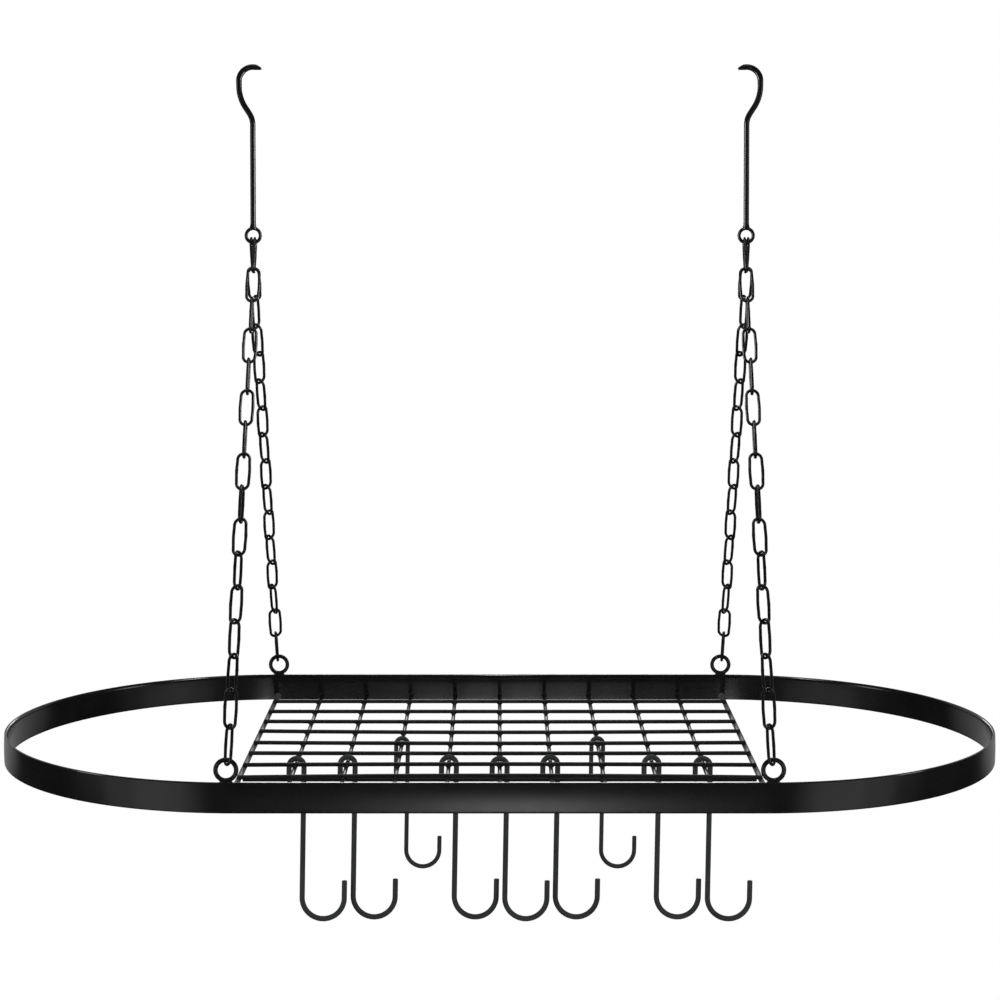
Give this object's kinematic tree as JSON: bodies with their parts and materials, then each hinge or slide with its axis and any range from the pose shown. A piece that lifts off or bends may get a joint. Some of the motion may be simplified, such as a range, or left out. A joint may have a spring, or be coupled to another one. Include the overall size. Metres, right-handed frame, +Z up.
{
  "type": "hanging pot rack",
  "caption": "Oval steel band with a welded wire grid, hung by link chains from long ceiling hooks, with S-shaped pot hooks on the grid wires.",
  "frame": {"origin": "midway between the two ceiling hooks, at the height of their saddles, where the rack hangs from the ceiling", "axes": "+X to the right along the rack, +Y from front to back, +Z up"},
  "size_m": [0.838, 0.4393, 0.713],
  "materials": {
    "band_coat": "satin black powder coat on flat strip",
    "ring_coat": "semi-gloss black coat on round wire",
    "chain_coat": "semi-gloss black coat on chain links",
    "bar_coat": "satin black coat on round bar",
    "grid_coat": "satin black coat on welded grid wire",
    "hook_coat": "matte charcoal coat on hook wire"
  },
  "bodies": {
    "ceiling_hooks": {"ceiling_hook_left": "ring_coat", "ceiling_hook_right": "ring_coat"},
    "top_links": {"top_link_front_left": "chain_coat", "top_link_front_right": "chain_coat", "top_link_back_left": "chain_coat", "top_link_back_right": "chain_coat"},
    "left_chains": {"chain_front_left": "chain_coat", "chain_back_left": "chain_coat"},
    "right_chains": {"chain_front_right": "chain_coat", "chain_back_right": "chain_coat"},
    "rack": {"oval_band": "band_coat", "ring_front_left": "ring_coat", "ring_front_right": "ring_coat", "ring_back_left": "ring_coat", "ring_back_right": "ring_coat", "side_bar_left": "bar_coat", "side_bar_right": "bar_coat", "depth_wire_1": "grid_coat", "depth_wire_2": "grid_coat", "depth_wire_3": "grid_coat", "depth_wire_4": "grid_coat", "depth_wire_5": "grid_coat", "depth_wire_6": "grid_coat", "depth_wire_7": "grid_coat", "depth_wire_8": "grid_coat", "depth_wire_9": "grid_coat", "cross_wire_1": "grid_coat", "cross_wire_2": "grid_coat", "cross_wire_3": "grid_coat", "cross_wire_4": "grid_coat", "cross_wire_5": "grid_coat", "cross_wire_6": "grid_coat", "cross_wire_7": "grid_coat", "cross_wire_8": "grid_coat", "cross_wire_9": "grid_coat", "under_wire": "grid_coat"},
    "hook_1": {"pot_hook_1": "hook_coat"},
    "hook_2": {"pot_hook_2": "hook_coat"},
    "hook_3": {"pot_hook_3": "hook_coat"},
    "hook_4": {"pot_hook_4": "hook_coat"},
    "hook_5": {"pot_hook_5": "hook_coat"},
    "hook_6": {"pot_hook_6": "hook_coat"},
    "hook_7": {"pot_hook_7": "hook_coat"},
    "hook_8": {"pot_hook_8": "hook_coat"},
    "hook_9": {"pot_hook_9": "hook_coat"}
  },
  "joints": [
    {"name": "fore_aft_swing", "type": "hinge", "parent": "ceiling_hooks", "child": "top_links", "pos_m": [0, 0, -0.14578], "axis": [1, 0, 0], "range_deg": [-20, 20]},
    {"name": "lengthwise_swing", "type": "hinge", "parent": "top_links", "child": "left_chains", "pos_m": [-0.209, 0, -0.16896], "axis": [0, 1, 0], "range_deg": [-10, 10]},
    {"name": "rack_level", "type": "hinge", "parent": "left_chains", "child": "rack", "pos_m": [-0.209, 0, -0.5468], "axis": [0, 1, 0], "range_deg": [-10, 10]},
    {"name": "right_chain_swing", "type": "hinge", "parent": "top_links", "child": "right_chains", "pos_m": [0.209, 0, -0.16896], "axis": [0, 1, 0], "range_deg": [-10, 10]},
    {"name": "pot_hook_1_swing", "type": "hinge", "parent": "rack", "child": "hook_1", "pos_m": [-0.168, -0.0661, -0.5762], "axis": [0, 1, 0], "range_deg": [-20, 20]},
    {"name": "pot_hook_2_swing", "type": "hinge", "parent": "rack", "child": "hook_2", "pos_m": [-0.126, -0.0609, -0.5762], "axis": [0, 1, 0], "range_deg": [-20, 20]},
    {"name": "pot_hook_3_swing", "type": "hinge", "parent": "rack", "child": "hook_3", "pos_m": [-0.084, 0.012, -0.5762], "axis": [0, 1, 0], "range_deg": [-30, 30]},
    {"name": "pot_hook_4_swing", "type": "hinge", "parent": "rack", "child": "hook_4", "pos_m": [-0.042, -0.0609, -0.5762], "axis": [0, 1, 0], "range_deg": [-20, 20]},
    {"name": "pot_hook_5_swing", "type": "hinge", "parent": "rack", "child": "hook_5", "pos_m": [0, -0.0661, -0.5762], "axis": [0, 1, 0], "range_deg": [-20, 20]},
    {"name": "pot_hook_6_swing", "type": "hinge", "parent": "rack", "child": "hook_6", "pos_m": [0.042, -0.0609, -0.5762], "axis": [0, 1, 0], "range_deg": [-20, 20]},
    {"name": "pot_hook_7_swing", "type": "hinge", "parent": "rack", "child": "hook_7", "pos_m": [0.084, 0.012, -0.5762], "axis": [0, 1, 0], "range_deg": [-30, 30]},
    {"name": "pot_hook_8_swing", "type": "hinge", "parent": "rack", "child": "hook_8", "pos_m": [0.126, -0.0609, -0.5762], "axis": [0, 1, 0], "range_deg": [-20, 20]},
    {"name": "pot_hook_9_swing", "type": "hinge", "parent": "rack", "child": "hook_9", "pos_m": [0.168, -0.0661, -0.5762], "axis": [0, 1, 0], "range_deg": [-20, 20]}
  ],
  "couplings": [
    {"joint": "rack_level", "follows": "lengthwise_swing", "ratio": -1},
    {"joint": "right_chain_swing", "follows": "lengthwise_swing", "ratio": 1}
  ]
}
